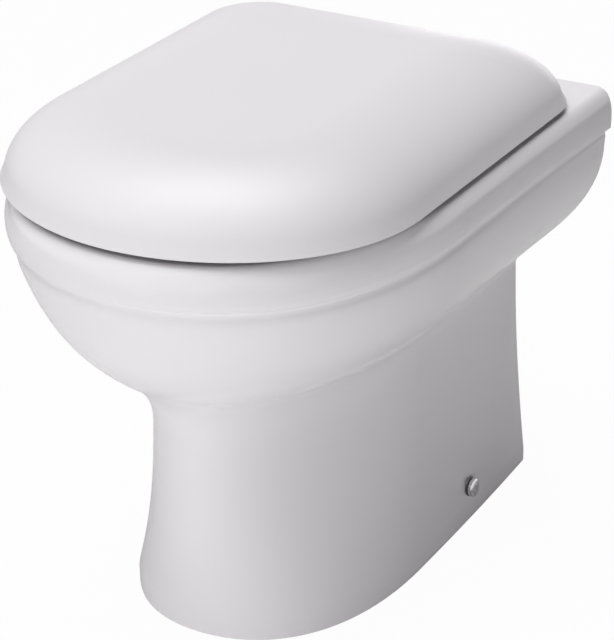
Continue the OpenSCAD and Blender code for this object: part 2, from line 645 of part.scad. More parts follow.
module seat_ring() color("white") difference() {
  union() {
    resize([0, 0, 0]) union() {
      ring_skin();
      for (s = [-1, 1]) translate([s > 0 ? knuckle_in : -knuckle_in - knuckle_l,
        ring_back - 32, hinge_z - barrel_r + 1])
        cube([knuckle_l, hinge_y - ring_back + 32, barrel_r + 2]);
    }
    for (s = [-1, 1]) {
      translate([s > 0 ? knuckle_in : -knuckle_in - knuckle_l,
        hinge_y, hinge_z]) rotate([0, 90, 0]) cylinder(r = barrel_r, h = knuckle_l);
      // bosses that carry the buffers
      for (y = [buf_front, buf_rear]) translate([s * buf_x, y, ring_z + 2])
        cylinder(r = buffer_r, h = ring_t - 4);
    }
  }
  for (s = [-1, 1]) translate([s > 0 ? knuckle_in - 5 : -knuckle_in - knuckle_l - 5,
    hinge_y, hinge_z]) rotate([0, 90, 0])
    cylinder(r = pin_r + run_fit, h = knuckle_l + 10);
  for (s = [-1, 1]) for (y = [buf_front, buf_rear])
    translate([s * buf_x, y, ring_z]) cylinder(r = stem_r, h = 2 + stem_l);
}
notch_in = knuckle_in - 2;
notch_out = hinge_x + barrel_l / 2 + run_gap;
notch_y = hinge_y - post_r - 1.6;
module lid() color("white") difference() {
  union() {
    resize([0, 0, 0]) difference() {
      union() {
        difference() {
          lid_solid();
          lid_hollow();
        }
        intersection() {
          lid_solid();
          union() {
            for (s = [-1, 1]) {
              translate([s > 0 ? knuckle_out : -knuckle_out - knuckle_l,
                hinge_y - barrel_r, hinge_z]) cube([knuckle_l, 2 * barrel_r, 40]);
              for (y = [buf_front, buf_rear]) translate([s * buf_x, y,
                ring_z + ring_t + rest_gap + lid_buffer_t])
                cylinder(r = lid_buffer_r + 1.5, h = 14, $fn = 24);
            }
          }
        }
      }
      tail_cut(hinge_h - 1.2, -lid_w, lid_w);
      for (s = [-1, 1]) tail_cut(hinge_h - gasket_t - base_t - run_gap,
        s * hinge_x - clear_x, s * hinge_x + clear_x);
      // notches round the hinge posts and the ring's arms
      for (s = [-1, 1]) translate([s > 0 ? notch_in : -notch_out, notch_y, lid_z - 5])
        cube([notch_out - notch_in, 80, lid_t + 20]);
    }
    for (s = [-1, 1]) translate([s > 0 ? knuckle_out : -knuckle_out - knuckle_l,
      hinge_y, hinge_z]) rotate([0, 90, 0]) cylinder(r = barrel_r, h = knuckle_l);
  }
  for (s = [-1, 1]) translate([s > 0 ? knuckle_out - 5 : -knuckle_out - knuckle_l - 5,
    hinge_y, hinge_z]) rotate([0, 90, 0])
    cylinder(r = pin_r + run_fit, h = knuckle_l + 10);
  for (s = [-1, 1]) for (y = [buf_front, buf_rear])
    translate([s * buf_x, y, ring_z + ring_t + rest_gap])
      cylinder(r = stem_r, h = lid_buffer_t + stem_l);
}

// ---- buffers ---------------------------------------------------------
module ring_buffer(y) color("gainsboro") translate([buf_x, y, rim_h + rest_gap]) {
  cylinder(r = buffer_r, h = ring_lift + 2 - rest_gap);
  cylinder(r = stem_r, h = ring_lift + 2 - rest_gap + stem_l);
}
module lid_buffer(y) color("gainsboro")
  translate([buf_x, y, ring_z + ring_t + rest_gap]) {
    cylinder(r = lid_buffer_r, h = lid_buffer_t);
    cylinder(r = stem_r, h = lid_buffer_t + stem_l);
  }

mirror([1, 0, 0]) rim();  // rim_left
rim();  // rim_right
deck();
mirror([1, 0, 0]) bowl_front();  // bowl_front_left
bowl_front();  // bowl_front_right
mirror([1, 0, 0]) bowl_rear();  // bowl_rear_left
bowl_rear();  // bowl_rear_right
mirror([1, 0, 0]) cheek();  // cheek_left
cheek();  // cheek_right
pedestal();
mirror([1, 0, 0]) sump();  // sump_left
sump();  // sump_right
mirror([1, 0, 0]) trap_leg();  // trap_left
trap_leg();  // trap_right
outlet_spigot();
flush_inlet();
mirror([1, 0, 0]) floor_bracket();  // floor_bracket_left
floor_bracket();  // floor_bracket_right
mirror([1, 0, 0]) side_bush();  // side_bush_left
side_bush();  // side_bush_right
mirror([1, 0, 0]) side_screw();  // side_screw_left
side_screw();  // side_screw_right
mirror([1, 0, 0]) side_cap();  // side_cap_left
side_cap();  // side_cap_right
mirror([1, 0, 0]) hinge_gasket();  // hinge_gasket_left
hinge_gasket();  // hinge_gasket_right
mirror([1, 0, 0]) hinge_base();  // hinge_base_left
hinge_base();  // hinge_base_right
mirror([1, 0, 0]) hinge_post();  // hinge_post_left
hinge_post();  // hinge_post_right
mirror([1, 0, 0]) hinge_pin();  // hinge_pin_left
hinge_pin();  // hinge_pin_right
mirror([1, 0, 0]) hinge_stud();  // hinge_stud_left
hinge_stud();  // hinge_stud_right
mirror([1, 0, 0]) hinge_cone();  // hinge_cone_left
hinge_cone();  // hinge_cone_right
mirror([1, 0, 0]) hinge_washer();  // hinge_washer_left
hinge_washer();  // hinge_washer_right
mirror([1, 0, 0]) hinge_nut();  // hinge_nut_left
hinge_nut();  // hinge_nut_right
seat_ring();
mirror([1, 0, 0]) ring_buffer(buf_front);  // ring_buffer_front_left
ring_buffer(buf_front);  // ring_buffer_front_right
mirror([1, 0, 0]) ring_buffer(buf_rear);  // ring_buffer_rear_left
ring_buffer(buf_rear);  // ring_buffer_rear_right
lid();
mirror([1, 0, 0]) lid_buffer(buf_front);  // lid_buffer_front_left
lid_buffer(buf_front);  // lid_buffer_front_right
mirror([1, 0, 0]) lid_buffer(buf_rear);  // lid_buffer_rear_left
lid_buffer(buf_rear);  // lid_buffer_rear_right
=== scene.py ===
import bmesh
import bpy
import math
import numpy as np
from mathutils import Matrix


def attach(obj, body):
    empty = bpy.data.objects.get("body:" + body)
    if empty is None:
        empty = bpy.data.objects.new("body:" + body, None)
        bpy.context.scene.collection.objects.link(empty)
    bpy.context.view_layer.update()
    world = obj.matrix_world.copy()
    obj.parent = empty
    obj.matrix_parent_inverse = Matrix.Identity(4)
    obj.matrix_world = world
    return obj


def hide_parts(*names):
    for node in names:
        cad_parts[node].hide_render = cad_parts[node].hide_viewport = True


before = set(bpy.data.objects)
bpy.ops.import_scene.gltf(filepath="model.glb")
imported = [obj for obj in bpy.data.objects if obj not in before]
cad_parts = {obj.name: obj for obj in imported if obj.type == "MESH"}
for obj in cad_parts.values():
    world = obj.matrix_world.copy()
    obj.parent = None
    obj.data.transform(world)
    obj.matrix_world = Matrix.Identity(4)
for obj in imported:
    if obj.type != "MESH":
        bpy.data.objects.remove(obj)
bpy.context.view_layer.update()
scene = bpy.context.scene
scene.view_settings.view_transform = "Standard"

# ---- Camera -----------------------------------------------------------------
# The photograph is taken from the front right, a little above the lid. The
# frame cuts the object close, so the lens is shifted sideways.
right = (0.8804, 0.4743, -0.0026)
up = (-0.2071, 0.3894, 0.8975)
back = (0.4267, -0.7896, 0.4410)
eye = (1.0080, -1.6555, 1.1844)
lens = bpy.data.cameras.new("camera")
lens.lens = 141.33
lens.sensor_width = 36.0
lens.shift_x = -0.1397
lens.shift_y = -0.0022
lens.clip_end = 30.0
camera = bpy.data.objects.new("camera", lens)
camera.matrix_world = Matrix((
    (right[0], up[0], back[0], eye[0]),
    (right[1], up[1], back[1], eye[1]),
    (right[2], up[2], back[2], eye[2]),
    (0.0, 0.0, 0.0, 1.0)))
scene.collection.objects.link(camera)
scene.camera = camera

# ---- Floor and light --------------------------------------------------------
# A white studio floor and surround, which the camera sees as plain white. Most
# light falls from soft lamps above and over the front left. Low ones light the
# front, the right side and the back, and the first two of these leave no glint.
MM = 0.001
FLOOR = 6000


def put(name, points, faces):
    """A mesh object at the origin, from an array of points in millimetres and
    a list of faces, turned outwards where they close with a negative volume."""
    mesh = bpy.data.meshes.new(name)
    mesh.from_pydata((np.asarray(points, float) * MM).tolist(), [], faces)
    mesh.update()
    form = bmesh.new()
    form.from_mesh(mesh)
    if form.calc_volume(signed=True) < 0:
        bmesh.ops.reverse_faces(form, faces=form.faces)
        form.to_mesh(mesh)
    form.free()
    made = bpy.data.objects.new(name, mesh)
    scene.collection.objects.link(made)
    return made


floor = put("floor", [(-FLOOR, -FLOOR, 0), (FLOOR, -FLOOR, 0), (FLOOR, FLOOR, 0),
                      (-FLOOR, FLOOR, 0)], [(0, 1, 2, 3)])
floor_paint = bpy.data.materials.new("floor_paint")
floor_paint.use_nodes = True
nodes, links = floor_paint.node_tree.nodes, floor_paint.node_tree.links
nodes.clear()
paper = nodes.new("ShaderNodeBsdfDiffuse")
paper.inputs["Color"].default_value = (0.86, 0.86, 0.86, 1)
glow = nodes.new("ShaderNodeEmission")
glow.inputs["Color"].default_value = (1, 1, 1, 1)
path = nodes.new("ShaderNodeLightPath")
share = nodes.new("ShaderNodeMath")
share.operation = "MULTIPLY"
share.inputs[1].default_value = 0.97
blend = nodes.new("ShaderNodeMixShader")
out = nodes.new("ShaderNodeOutputMaterial")
links.new(path.outputs["Is Camera Ray"], share.inputs[0])
links.new(share.outputs[0], blend.inputs[0])
links.new(paper.outputs[0], blend.inputs[1])
links.new(glow.outputs[0], blend.inputs[2])
links.new(blend.outputs[0], out.inputs["Surface"])
floor.data.materials.append(floor_paint)

world = bpy.data.worlds.new("studio")
scene.world = world
world.use_nodes = True
nodes, links = world.node_tree.nodes, world.node_tree.links
nodes.clear()
room = nodes.new("ShaderNodeBackground")
room.inputs["Color"].default_value = (1, 1, 1, 1)
room.inputs["Strength"].default_value = 0.02
card = nodes.new("ShaderNodeBackground")
card.inputs["Color"].default_value = (1, 1, 1, 1)
card.inputs["Strength"].default_value = 1.0
path = nodes.new("ShaderNodeLightPath")
seen = nodes.new("ShaderNodeMath")
seen.operation = "MAXIMUM"
also = nodes.new("ShaderNodeMath")
also.operation = "MAXIMUM"
blend = nodes.new("ShaderNodeMixShader")
out = nodes.new("ShaderNodeOutputWorld")
links.new(path.outputs["Is Camera Ray"], seen.inputs[0])
links.new(path.outputs["Is Transmission Ray"], seen.inputs[1])
links.new(seen.outputs[0], also.inputs[0])
links.new(path.outputs["Is Glossy Ray"], also.inputs[1])
links.new(also.outputs[0], blend.inputs[0])
links.new(room.outputs[0], blend.inputs[1])
links.new(card.outputs[0], blend.inputs[2])
links.new(blend.outputs[0], out.inputs["Surface"])


def lamp(name, place, aim, width, height, power):
    """A soft area lamp at place, in metres, turned to face aim."""
    data = bpy.data.lights.new(name, "AREA")
    data.shape = "RECTANGLE"
    data.size = width
    data.size_y = height
    data.energy = power
    made = bpy.data.objects.new(name, data)
    z = np.subtract(place, aim)
    z = z / np.linalg.norm(z)
    x = np.cross((0, 0, 1), z)
    x = x / np.linalg.norm(x)
    y = np.cross(z, x)
    made.matrix_world = Matrix((
        (x[0], y[0], z[0], place[0]), (x[1], y[1], z[1], place[1]),
        (x[2], y[2], z[2], place[2]), (0, 0, 0, 1)))
    scene.collection.objects.link(made)
    return made


lamp("top_lamp", (-0.15, 0.01, 3.05), (-0.15, 0, 0), 2.0, 2.0, 52)
lamp("left_lamp", (-1.1, -0.63, 2.97), (0, 0, 0.25), 1.8, 1.8, 12)
lamp("key_lamp", (-0.66, -1.81, 2.55), (0, 0, 0.25), 2.4, 2.4, 12)
lamp("front_lamp", (-0.2, -2.4, 0.14), (0, 0, 0.3), 2.6, 0.26, 23).visible_glossy = False
lamp("side_lamp", (2.2, -1.3, 0.16), (0, 0, 0.3), 1.4, 0.3, 10).visible_glossy = False
lamp("rear_lamp", (-0.5, 3.0, 0.35), (0, 0, 0.35), 1.6, 0.6, 8)


# ---- Pan: outer form --------------------------------------------------------
# The pan is one casting of vitreous china, glazed white. Every level of it is
# the same kind of outline, from the foot on the floor to the top of the rim:
# straight across at the wall, bowed at the sides and round at the front.
def bez(a, b, c, d, t):
    """Cubic curve from a to d with the control points b and c."""
    s = 1 - t
    return a * s ** 3 + b * 3 * s * s * t + c * 3 * s * t * t + d * t ** 3


def mix(a, b, k):
    """Straight blend from a to b by the share k."""
    return np.asarray(a, float) * (1 - k) + np.asarray(b, float) * k


WALL = 253.0


def mirrored(h):
    """The right half outline and its mirror image, as one open run."""
    return np.concatenate([h, h[-2::-1] * (-1, 1)])


def level(s, yb=WALL, corner=3.0, n1=26, n2=66, n3=34):
    """Closed outline of one level, from s = half width at the back, half
    width at the side, y where the side turns in, y of the front and two
    fullnesses: a quarter circle at the rear corner, a side that bows with the
    square of the distance, a cubic turn to the front, the mirror image, and
    a straight run along the wall."""
    wb, ws, ys, yf, h1, h2 = s
    y = (yb - corner) + (ys - yb + corner) * np.linspace(0, 1, n1)
    x = ws + (wb - ws) * ((y - ys) / (yb - ys)) ** 2
    t = np.linspace(0, 1, n2)[1:]
    bx = bez(ws, ws, h2 * ws, 0.0, t)
    by = bez(ys, ys - h1 * (ys - yf), yf, yf, t)
    a = np.linspace(0, math.pi / 2, 6)[:-1]
    cx = x[0] - corner + corner * np.sin(a)
    cy = yb - corner + corner * np.cos(a)
    run = mirrored(np.stack([np.concatenate([cx, x, bx]), np.concatenate([cy, y, by])], 1))
    w = run[-1, 0] + (run[0, 0] - run[-1, 0]) * np.linspace(0, 1, n3)[1:-1]
    return np.concatenate([run, np.stack([w, np.full(len(w), yb)], 1)])


def inset(s, d):
    """The same level drawn in by d all round."""
    return [s[0] - d, s[1] - d, s[2], s[3] + d, s[4], s[5]]


RIM_H, RIM_IN, EDGE_Z = 393.0, 12.0, 370.5
rim_s = [194.0, 190.0, -23.0, -253.0, 0.51, 0.705]
band_s = [193.76, 187.6, -23.0, -250.6, 0.51, 0.705]
ledge_s = [band_s[0] - 5.5, band_s[1] - 3.5, -23.0, band_s[3] + 3.5, 0.51, 0.705]
foot_s = [115.5, 121.0, 28.0, -148.0, 0.72, 0.54]
waist_s = [103.5, 101.6, 62.0, -156.0, 0.25, 0.71]
PLINTH, LEDGE_Z, BAND_Z = 14.0, 344.5, 357.0
CREASE_Z, CREASE_RISE, WAIST_D = 210.0, 9.5, 409.0
FILLET_BACK, FILLET_FRONT = 4.0, 40.0


def crease_z(y):
    """Height of the crease under the bowl, which rises towards the front."""
    return CREASE_Z + CREASE_RISE * (WALL - y) / WAIST_D


def stem(k):
    """Level of the pedestal at the share k of its height."""
    return mix(foot_s, waist_s, 1 - (1 - k) ** 1.75)


def stem_ring(k, d=0.0, **how):
    """Ring of points round the pedestal at the share k of its height, which
    follows the slope of the crease, drawn in by d."""
    p = level(inset(stem(k), d), **how)
    return np.column_stack([p, PLINTH + (crease_z(p[:, 1]) - PLINTH) * k])


def bowl_ring(t, lo=waist_s, hi=ledge_s, d=0.0, **how):
    """Ring of points round the underside of the bowl at t: in every upright
    plane a cubic curve from the crease out and up to the ledge."""
    a, b = level(inset(lo, d), **how), level(inset(hi, d), **how)
    w = np.clip((b[:, 1] - ledge_s[3]) / (WALL - ledge_s[3]), 0, 1)
    zc = crease_z(a[:, 1])
    h = LEDGE_Z - zc
    o = b - a
    k1, k2 = mix(0.5, 0.44, w)[:, None], 0.235 * (1 - w)[:, None]
    p = bez(a, a + o * k1, b - o * k2, b, t)
    z = bez(zc, zc + h * 0.295, LEDGE_Z - h * mix(0.68, 0.44, w), LEDGE_Z, t)
    return np.column_stack([p, z])


def flat(s, z, **how):
    """Ring of points round a level at one height."""
    p = level(s, **how)
    return np.column_stack([p, np.full(len(p), z)])


def grid_faces(rows, n, closed_rows=False):
    """Quads of a grid of rows with n points each, closed round every row and,
    if asked, from the last row back to the first."""
    i, j = np.meshgrid(np.arange(n), np.arange(rows - (not closed_rows)))
    k, l = (i + 1) % n, (j + 1) % rows
    return np.stack([j * n + i, j * n + k, l * n + k, l * n + i], -1).reshape(-1, 4).tolist()


def skin(name, rings):
    """A closed skin over a stack of rings with the same number of points,
    capped on the first and on the last."""
    n = len(rings[0])
    faces = grid_faces(len(rings), n)
    faces.append(list(range(n))[::-1])
    faces.append([(len(rings) - 1) * n + i for i in range(n)])
    return put(name, np.concatenate(rings), faces)


def soften(rows, at, below, above, steps=9):
    """Rounds the break at row number at: in every column the rows between
    the distances below and above it are replaced by a quadratic curve."""
    r = np.array(rows)
    run = np.linalg.norm(np.diff(r, axis=0), axis=2)
    length = np.concatenate([[np.zeros(r.shape[1])], np.cumsum(run, 0)])
    column = np.arange(r.shape[1])

    def point(s):
        """The point of every column at its own length s along the column."""
        j = np.clip((length < s).sum(0) - 1, 0, len(r) - 2)
        l0, l1 = length[j, column], length[j + 1, column]
        k = ((s - l0) / np.maximum(l1 - l0, 1e-6))[:, None]
        return r[j, column] * (1 - k) + r[j + 1, column] * k

    centre = length[at]
    a, b = point(centre - below), point(centre + above)
    t = np.linspace(0, 1, steps)[:, None, None]
    arc = a * (1 - t) ** 2 + r[at] * 2 * t * (1 - t) + b * t * t
    lo = int((length < centre - below).all(1).sum())
    hi = int((length <= centre + above).any(1).sum())
    return list(r[:lo]) + list(arc) + list(r[hi:])


shares = (0, 0.03, 0.07, 0.12, 0.18, 0.25, 0.33, 0.42, 0.51, 0.6, 0.69, 0.77, 0.84, 0.9, 0.95, 1)
outer = [flat(inset(foot_s, 1.2), 0), flat(inset(foot_s, 0.3), 0.6), flat(foot_s, 1.8)]
outer += [stem_ring(k) for k in shares]
crease_row = len(outer) - 1
outer += [bowl_ring(t) for t in np.linspace(0, 1, 30)[1:]]
front = np.clip((WALL - outer[crease_row][:, 1]) / (WAIST_D - 5), 0, 1)
fillet = FILLET_BACK + (FILLET_FRONT - FILLET_BACK) * front
outer = soften(outer, crease_row, fillet, fillet, 17)
ledge_row = len(outer) - 1
outer += [flat(mix(ledge_s, inset(band_s, d), k), z)
          for k, d, z in ((0.3, 3.8, 345.6), (0.7, 4.3, 347), (1, 4.9, 348.6), (1, 5.3, 350.2))]
outer += [flat(inset(band_s, d), z)
          for d, z in ((5.5, 351.8), (5.4, 353.2), (4.8, 354.5), (3.6, 355.6), (2.1, 356.4),
                       (0.8, 356.9), (0.2, 357.2), (0, 357.7), (0, 358.5))]
outer = soften(outer, ledge_row, 10, 4)
outer += [flat(mix(rim_s, band_s, (1 - k) ** 2), mix(BAND_Z, EDGE_Z, k))
          for k in (0.25, 0.45, 0.65, 0.85)]
outer += [flat(inset(rim_s, RIM_IN * (1 - math.cos(a))), EDGE_Z + (RIM_H - EDGE_Z) * math.sin(a))
          for a in np.radians([0, 10, 20, 30, 40, 50, 59, 67, 74, 80, 85, 90])]

# ---- Pan: rim and bowl ------------------------------------------------------
# Inside the rim the china turns down over a rounded lip, runs back under the
# rim and falls in one sweep to the sump, where the water stands.
MOUTH_YC = -40.1
rim_edge = outer[-1][:, :2]
bearing = np.arctan2(rim_edge[:, 1] - MOUTH_YC, rim_edge[:, 0])


def oval(z, hw, yf, yb, p, d=0.0, around=bearing):
    """Ring at the height z, by the compass bearing of its points from the
    widest place: a squared oval of exponent 2 / p, half width hw, from yf to
    yb, drawn out by d."""
    hw, yf, yb = hw + d, yf - d, yb + d
    yw = yf + (yb - yf) * 0.55
    c, s = np.cos(around), np.sin(around)
    reach = np.where(s > 0, yb - yw, yw - yf)
    r = ((np.abs(c) / hw) ** (2 / p) + (np.abs(s) / reach) ** (2 / p)) ** (-p / 2)
    return np.column_stack([r * c, yw + r * s, np.full(len(around), z)])


def smooth_rows(table, per):
    """The rows of the table with per - 1 more between each two, on the
    Catmull-Rom curve through them."""
    r = np.asarray(table, float)
    q = np.concatenate([[2 * r[0] - r[1]], r, [2 * r[-1] - r[-2]]])
    t = (np.arange(per) / per)[:, None]
    runs = [0.5 * (2 * q[i] + (q[i + 1] - q[i - 1]) * t
                   + (2 * q[i - 1] - 5 * q[i] + 4 * q[i + 1] - q[i + 2]) * t ** 2
                   + (3 * q[i] - q[i - 1] - 3 * q[i + 1] + q[i + 2]) * t ** 3)
            for i in range(1, len(q) - 2)]
    return np.concatenate(runs + [r[-1:]])


well = [[22, 20, -12, 22, 1], [28, 32, -24, 30, 1], [44, 42, -36, 33, 0.98],
        [72, 48, -45, 35, 0.96], [112, 54, -58, 38, 0.94], [156, 61, -76, 48, 0.92],
        [191, 71, -97, 63, 0.92], [226, 82, -118, 78, 0.92], [261, 118, -165, 100, 0.9],
        [291, 141, -196, 111, 0.88], [318, 160.1, -221.1, 119, 0.86],
        [342, 164.1, -227.1, 122, 0.84]]
mouth = np.array([120.0, -204.0, 94.0])
grow = np.array([1.0, -1.0, 1.0])
channel, under = np.array([164.1, -227.1, 122.0]), np.array([148.0, -222.0, 118.0])
OVAL, LIP_LOW_Z, LIP_LOW_R, LIP_R = 0.84, 363.0, 5.0, 6.5
lip = [[z, *mix(channel, under, k), OVAL] for z, k in ((347, 0.12), (350.5, 0.45), (352, 1))]
lip += [[LIP_LOW_Z - LIP_LOW_R, *(mouth + grow * LIP_LOW_R), OVAL]]
lip += [[LIP_LOW_Z - LIP_LOW_R * math.sin(a),
         *(mouth + grow * LIP_LOW_R * (1 - math.cos(a))), OVAL]
        for a in np.radians([60, 40, 20, 0])]
lip += [[RIM_H - LIP_R, *mouth, OVAL]]
lip += [[RIM_H - LIP_R + LIP_R * math.sin(a), *(mouth + grow * LIP_R * (1 - math.cos(a))), OVAL]
        for a in np.radians([15, 30, 45, 60, 75, 90])]
inside = [oval(*r) for r in smooth_rows(well, 5)] + [oval(*r) for r in lip]
pan = skin("pan_shell", outer + inside[::-1])

# ---- Pan: glaze -------------------------------------------------------------
# The china is fired with a thick opaque white glaze that lies in very faint
# waves. Under the foot and inside the recess it is bare and matt.
def node_group(name, inputs, outputs):
    """A shader node group with named sockets, and its two end nodes."""
    g = bpy.data.node_groups.new(name, "ShaderNodeTree")
    for label, kind, value in inputs:
        g.interface.new_socket(label, in_out="INPUT", socket_type=kind).default_value = value
    for label, kind in outputs:
        g.interface.new_socket(label, in_out="OUTPUT", socket_type=kind)
    return g, g.nodes.new("NodeGroupInput"), g.nodes.new("NodeGroupOutput")


FLOAT, COLOR, VECTOR = "NodeSocketFloat", "NodeSocketColor", "NodeSocketVector"

# Two noises, one broad and one ten times finer, as the height of a bump.
waves, wi, wo = node_group("waves", [("Size", FLOAT, 40.0), ("Depth", FLOAT, 0.0001),
                                     ("Fine share", FLOAT, 0.2)], [("Normal", VECTOR)])
place = waves.nodes.new("ShaderNodeTexCoord")
broad = waves.nodes.new("ShaderNodeTexNoise")
broad.inputs["Detail"].default_value = 1.0
fine = waves.nodes.new("ShaderNodeTexNoise")
fine.inputs["Detail"].default_value = 2.0
ten = waves.nodes.new("ShaderNodeMath")
ten.operation = "MULTIPLY"
ten.inputs[1].default_value = 10.0
both = waves.nodes.new("ShaderNodeMix")
both.data_type = "FLOAT"
bump = waves.nodes.new("ShaderNodeBump")
bump.inputs["Strength"].default_value = 1.0
waves.links.new(place.outputs["Object"], broad.inputs["Vector"])
waves.links.new(place.outputs["Object"], fine.inputs["Vector"])
waves.links.new(wi.outputs["Size"], broad.inputs["Scale"])
waves.links.new(wi.outputs["Size"], ten.inputs[0])
waves.links.new(ten.outputs[0], fine.inputs["Scale"])
waves.links.new(wi.outputs["Fine share"], both.inputs["Factor"])
waves.links.new(broad.outputs["Fac"], both.inputs["A"])
waves.links.new(fine.outputs["Fac"], both.inputs["B"])
waves.links.new(both.outputs["Result"], bump.inputs["Height"])
waves.links.new(wi.outputs["Depth"], bump.inputs["Distance"])
waves.links.new(bump.outputs["Normal"], wo.inputs["Normal"])

# Soft clouds between two tones and between two roughnesses.
clouds, ci, co = node_group("clouds", [
    ("Size", FLOAT, 6.0), ("Tone", COLOR, (1, 1, 1, 1)), ("Other tone", COLOR, (1, 1, 1, 1)),
    ("Smooth", FLOAT, 0.1), ("Rough", FLOAT, 0.2)], [("Color", COLOR), ("Roughness", FLOAT)])
place = clouds.nodes.new("ShaderNodeTexCoord")
patch = clouds.nodes.new("ShaderNodeTexNoise")
patch.inputs["Detail"].default_value = 3.0
tone = clouds.nodes.new("ShaderNodeMix")
tone.data_type = "RGBA"
gloss = clouds.nodes.new("ShaderNodeMapRange")
gloss.inputs["From Min"].default_value = 0.35
gloss.inputs["From Max"].default_value = 0.65
clouds.links.new(place.outputs["Object"], patch.inputs["Vector"])
clouds.links.new(ci.outputs["Size"], patch.inputs["Scale"])
clouds.links.new(patch.outputs["Fac"], tone.inputs["Factor"])
clouds.links.new(ci.outputs["Tone"], tone.inputs["A"])
clouds.links.new(ci.outputs["Other tone"], tone.inputs["B"])
clouds.links.new(patch.outputs["Fac"], gloss.inputs["Value"])
clouds.links.new(ci.outputs["Smooth"], gloss.inputs["To Min"])
clouds.links.new(ci.outputs["Rough"], gloss.inputs["To Max"])
clouds.links.new(tone.outputs["Result"], co.inputs["Color"])
clouds.links.new(gloss.outputs["Result"], co.inputs["Roughness"])


def finish(name, tones, rough, cloud_size, wave_size, wave_depth, fine_share=0.2, **plain):
    """A material: clouds between two tones and two roughnesses, a wavy
    normal, and plain numbers set on the shader's own sockets."""
    made = bpy.data.materials.new(name)
    made.use_nodes = True
    tree = made.node_tree
    tree.nodes.clear()
    shader = tree.nodes.new("ShaderNodeBsdfPrincipled")
    end = tree.nodes.new("ShaderNodeOutputMaterial")
    cloud = tree.nodes.new("ShaderNodeGroup")
    cloud.node_tree = clouds
    cloud.inputs["Size"].default_value = cloud_size
    cloud.inputs["Tone"].default_value = (*tones[0], 1)
    cloud.inputs["Other tone"].default_value = (*tones[1], 1)
    cloud.inputs["Smooth"].default_value = rough[0]
    cloud.inputs["Rough"].default_value = rough[1]
    wave = tree.nodes.new("ShaderNodeGroup")
    wave.node_tree = waves
    wave.inputs["Size"].default_value = wave_size
    wave.inputs["Depth"].default_value = wave_depth
    wave.inputs["Fine share"].default_value = fine_share
    tree.links.new(cloud.outputs["Color"], shader.inputs["Base Color"])
    tree.links.new(cloud.outputs["Roughness"], shader.inputs["Roughness"])
    tree.links.new(wave.outputs["Normal"], shader.inputs["Normal"])
    for label, value in plain.items():
        shader.inputs[label.replace("_", " ")].default_value = value
    tree.links.new(shader.outputs[0], end.inputs["Surface"])
    return made


glazed_china = finish("glazed_china", ((0.905, 0.878, 0.905), (0.885, 0.858, 0.885)), (0.14, 0.19),
                      5.0, 28.0, 0.00010, 0.04, IOR=1.52)
bare_china = finish("bare_china", ((0.80, 0.785, 0.75), (0.72, 0.70, 0.66)), (0.45, 0.7),
                    9.0, 60.0, 0.0003, 0.35)

# ---- Pan: back recess, trap and spigots -------------------------------------
# Behind and below the casting is hollow and open to the wall. The bowl's wall
# and the trap stand in it, with the outlet spigot and the flush inlet behind.
INSIDE = 1


def raw(piece):
    """Gives a cutter the second finish, which its cuts leave on the china."""
    for m in (glazed_china, bare_china):
        piece.data.materials.append(m)
    piece.data.polygons.foreach_set("material_index", np.full(len(piece.data.polygons), INSIDE))
    return piece


def carve(piece, *steps):
    """Applies a list of (DIFFERENCE, UNION or INTERSECT, other piece) to the
    piece, and removes the others and the empty material slots they leave."""
    for how, other in steps:
        cut = piece.modifiers.new("cut", "BOOLEAN")
        cut.operation = how
        cut.solver = "MANIFOLD"
        cut.object = other
    graph = bpy.context.evaluated_depsgraph_get()
    mesh = bpy.data.meshes.new_from_object(piece.evaluated_get(graph))
    for i in reversed(range(len(mesh.materials))):
        if mesh.materials[i] is None:
            mesh.materials.pop(index=i)
    piece.modifiers.clear()
    piece.data = mesh
    for how, other in steps:
        bpy.data.objects.remove(other)
    return piece


def finish_edges(piece, degrees=32):
    """Smooth shading, with the breaks over the angle kept sharp and the
    larger faces leading the normals."""
    piece.data.shade_smooth()
    piece.data.set_sharp_from_angle(angle=math.radians(degrees))
    lead = piece.modifiers.new("normals", "WEIGHTED_NORMAL")
    lead.keep_sharp = True
    return piece


def lathe(name, profile, centre, axis=(0, 0, 1), n=64):
    """A turned piece: the profile, pairs of radius and distance along the
    axis, carried round the axis through the centre. A profile that starts
    and ends on the axis closes in two poles, any other closes on itself."""
    r, t = np.asarray(profile, float).T
    z = np.asarray(axis, float)
    x = np.cross((0, 1, 0) if abs(z[1]) < 0.9 else (1, 0, 0), z)
    y = np.cross(z, x)
    a = 2 * math.pi * np.arange(n) / n
    around = np.cos(a)[:, None] * x + np.sin(a)[:, None] * y
    if r[0] < 1e-6 and r[-1] < 1e-6:
        rings = [np.asarray(centre) + s * z + q * around for q, s in zip(r[1:-1], t[1:-1])]
        pole = len(rings) * n
        points = np.concatenate(rings + [[np.asarray(centre) + t[0] * z],
                                         [np.asarray(centre) + t[-1] * z]])
        faces = grid_faces(len(rings), n)
        i = np.arange(n)
        faces += np.stack([(i + 1) % n, i, np.full(n, pole)], 1).tolist()
        last = (len(rings) - 1) * n
        faces += np.stack([last + i, last + (i + 1) % n, np.full(n, pole + 1)], 1).tolist()
        return put(name, points, faces)
    rings = [np.asarray(centre) + s * z + q * around for q, s in zip(r, t)]
    return put(name, np.concatenate(rings), grid_faces(len(rings), n, True))


def rod(name, r, length, centre, axis, n=64):
    """A plain round bar from the centre along the axis."""
    return lathe(name, [(0, 0), (r, 0), (r, length), (0, length)], centre, axis, n)


def back_level(s, d):
    """The outline of the recess at the level s: drawn in by the wall d, and
    turned in early, behind the bowl."""
    return [s[0] - d, s[1] - d, 133.0, 53.0, 0.5, 0.5]


